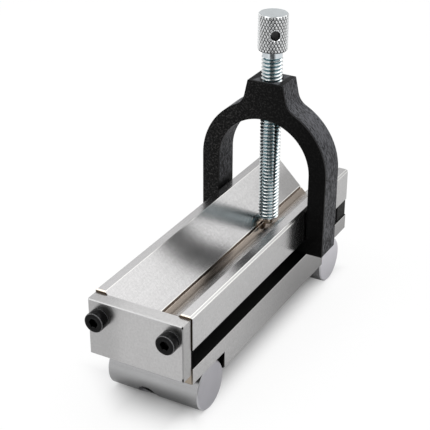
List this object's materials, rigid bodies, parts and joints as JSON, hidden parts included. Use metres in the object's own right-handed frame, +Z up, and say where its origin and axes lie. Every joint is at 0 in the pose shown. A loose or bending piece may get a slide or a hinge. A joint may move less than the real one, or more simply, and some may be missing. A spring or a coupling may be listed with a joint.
{
  "type": "sine vise",
  "caption": "Sine V-block on two precision rolls, with an end stop plate and a sliding arch clamp whose knurled screw holds round or square work in the V.",
  "frame": {"origin": "bottom centre of the bounding box, on the plane that the two rolls stand on", "axes": "+X across the block, +Y from the end plate to the rear end, +Z up"},
  "size_m": [0.052, 0.136, 0.117],
  "materials": {
    "ground_steel": "surface ground with fine lengthwise grain, heat-treat brown left in the relief groove and on the ends",
    "plate_steel": "surface ground",
    "roll_steel": "cylindrically ground",
    "black_oxide": "oiled black oxide",
    "black_casting": "blackened casting, satin",
    "zinc_plate": "bright zinc plate, faint blue",
    "nickel_plate": "bright plate over a diamond knurl",
    "bronze": "turned, dull"
  },
  "bodies": {
    "block": {"v_block_body": "ground_steel", "end_plate": "plate_steel", "left_slot_stop": "black_casting", "right_slot_stop": "black_casting", "left_plate_screw": "black_oxide", "right_plate_screw": "black_oxide", "front_roll": "roll_steel", "rear_roll": "roll_steel", "front_roll_screw": "black_oxide", "rear_roll_screw": "black_oxide"},
    "clamp": {"clamp_yoke": "black_casting"},
    "tip": {"thrust_tip": "bronze"},
    "screw": {"clamp_screw": "zinc_plate", "knurled_head": "nickel_plate"}
  },
  "joints": [
    {"name": "clamp_slide", "type": "slide", "parent": "block", "child": "clamp", "axis": [0, 1, 0], "range_m": [-0.086, 0.0196]},
    {"name": "tip_travel", "type": "slide", "parent": "clamp", "child": "tip", "axis": [0, 0, 1], "range_m": [0, 0.04233]},
    {"name": "screw_turn", "type": "hinge", "parent": "tip", "child": "screw", "pos_m": [0, 0.03365, 0.092], "axis": [0, 0, 1], "range_deg": [0, 10800]}
  ],
  "couplings": [
    {"joint": "screw_turn", "follows": "tip_travel", "rad_per_m": 4452.7}
  ]
}
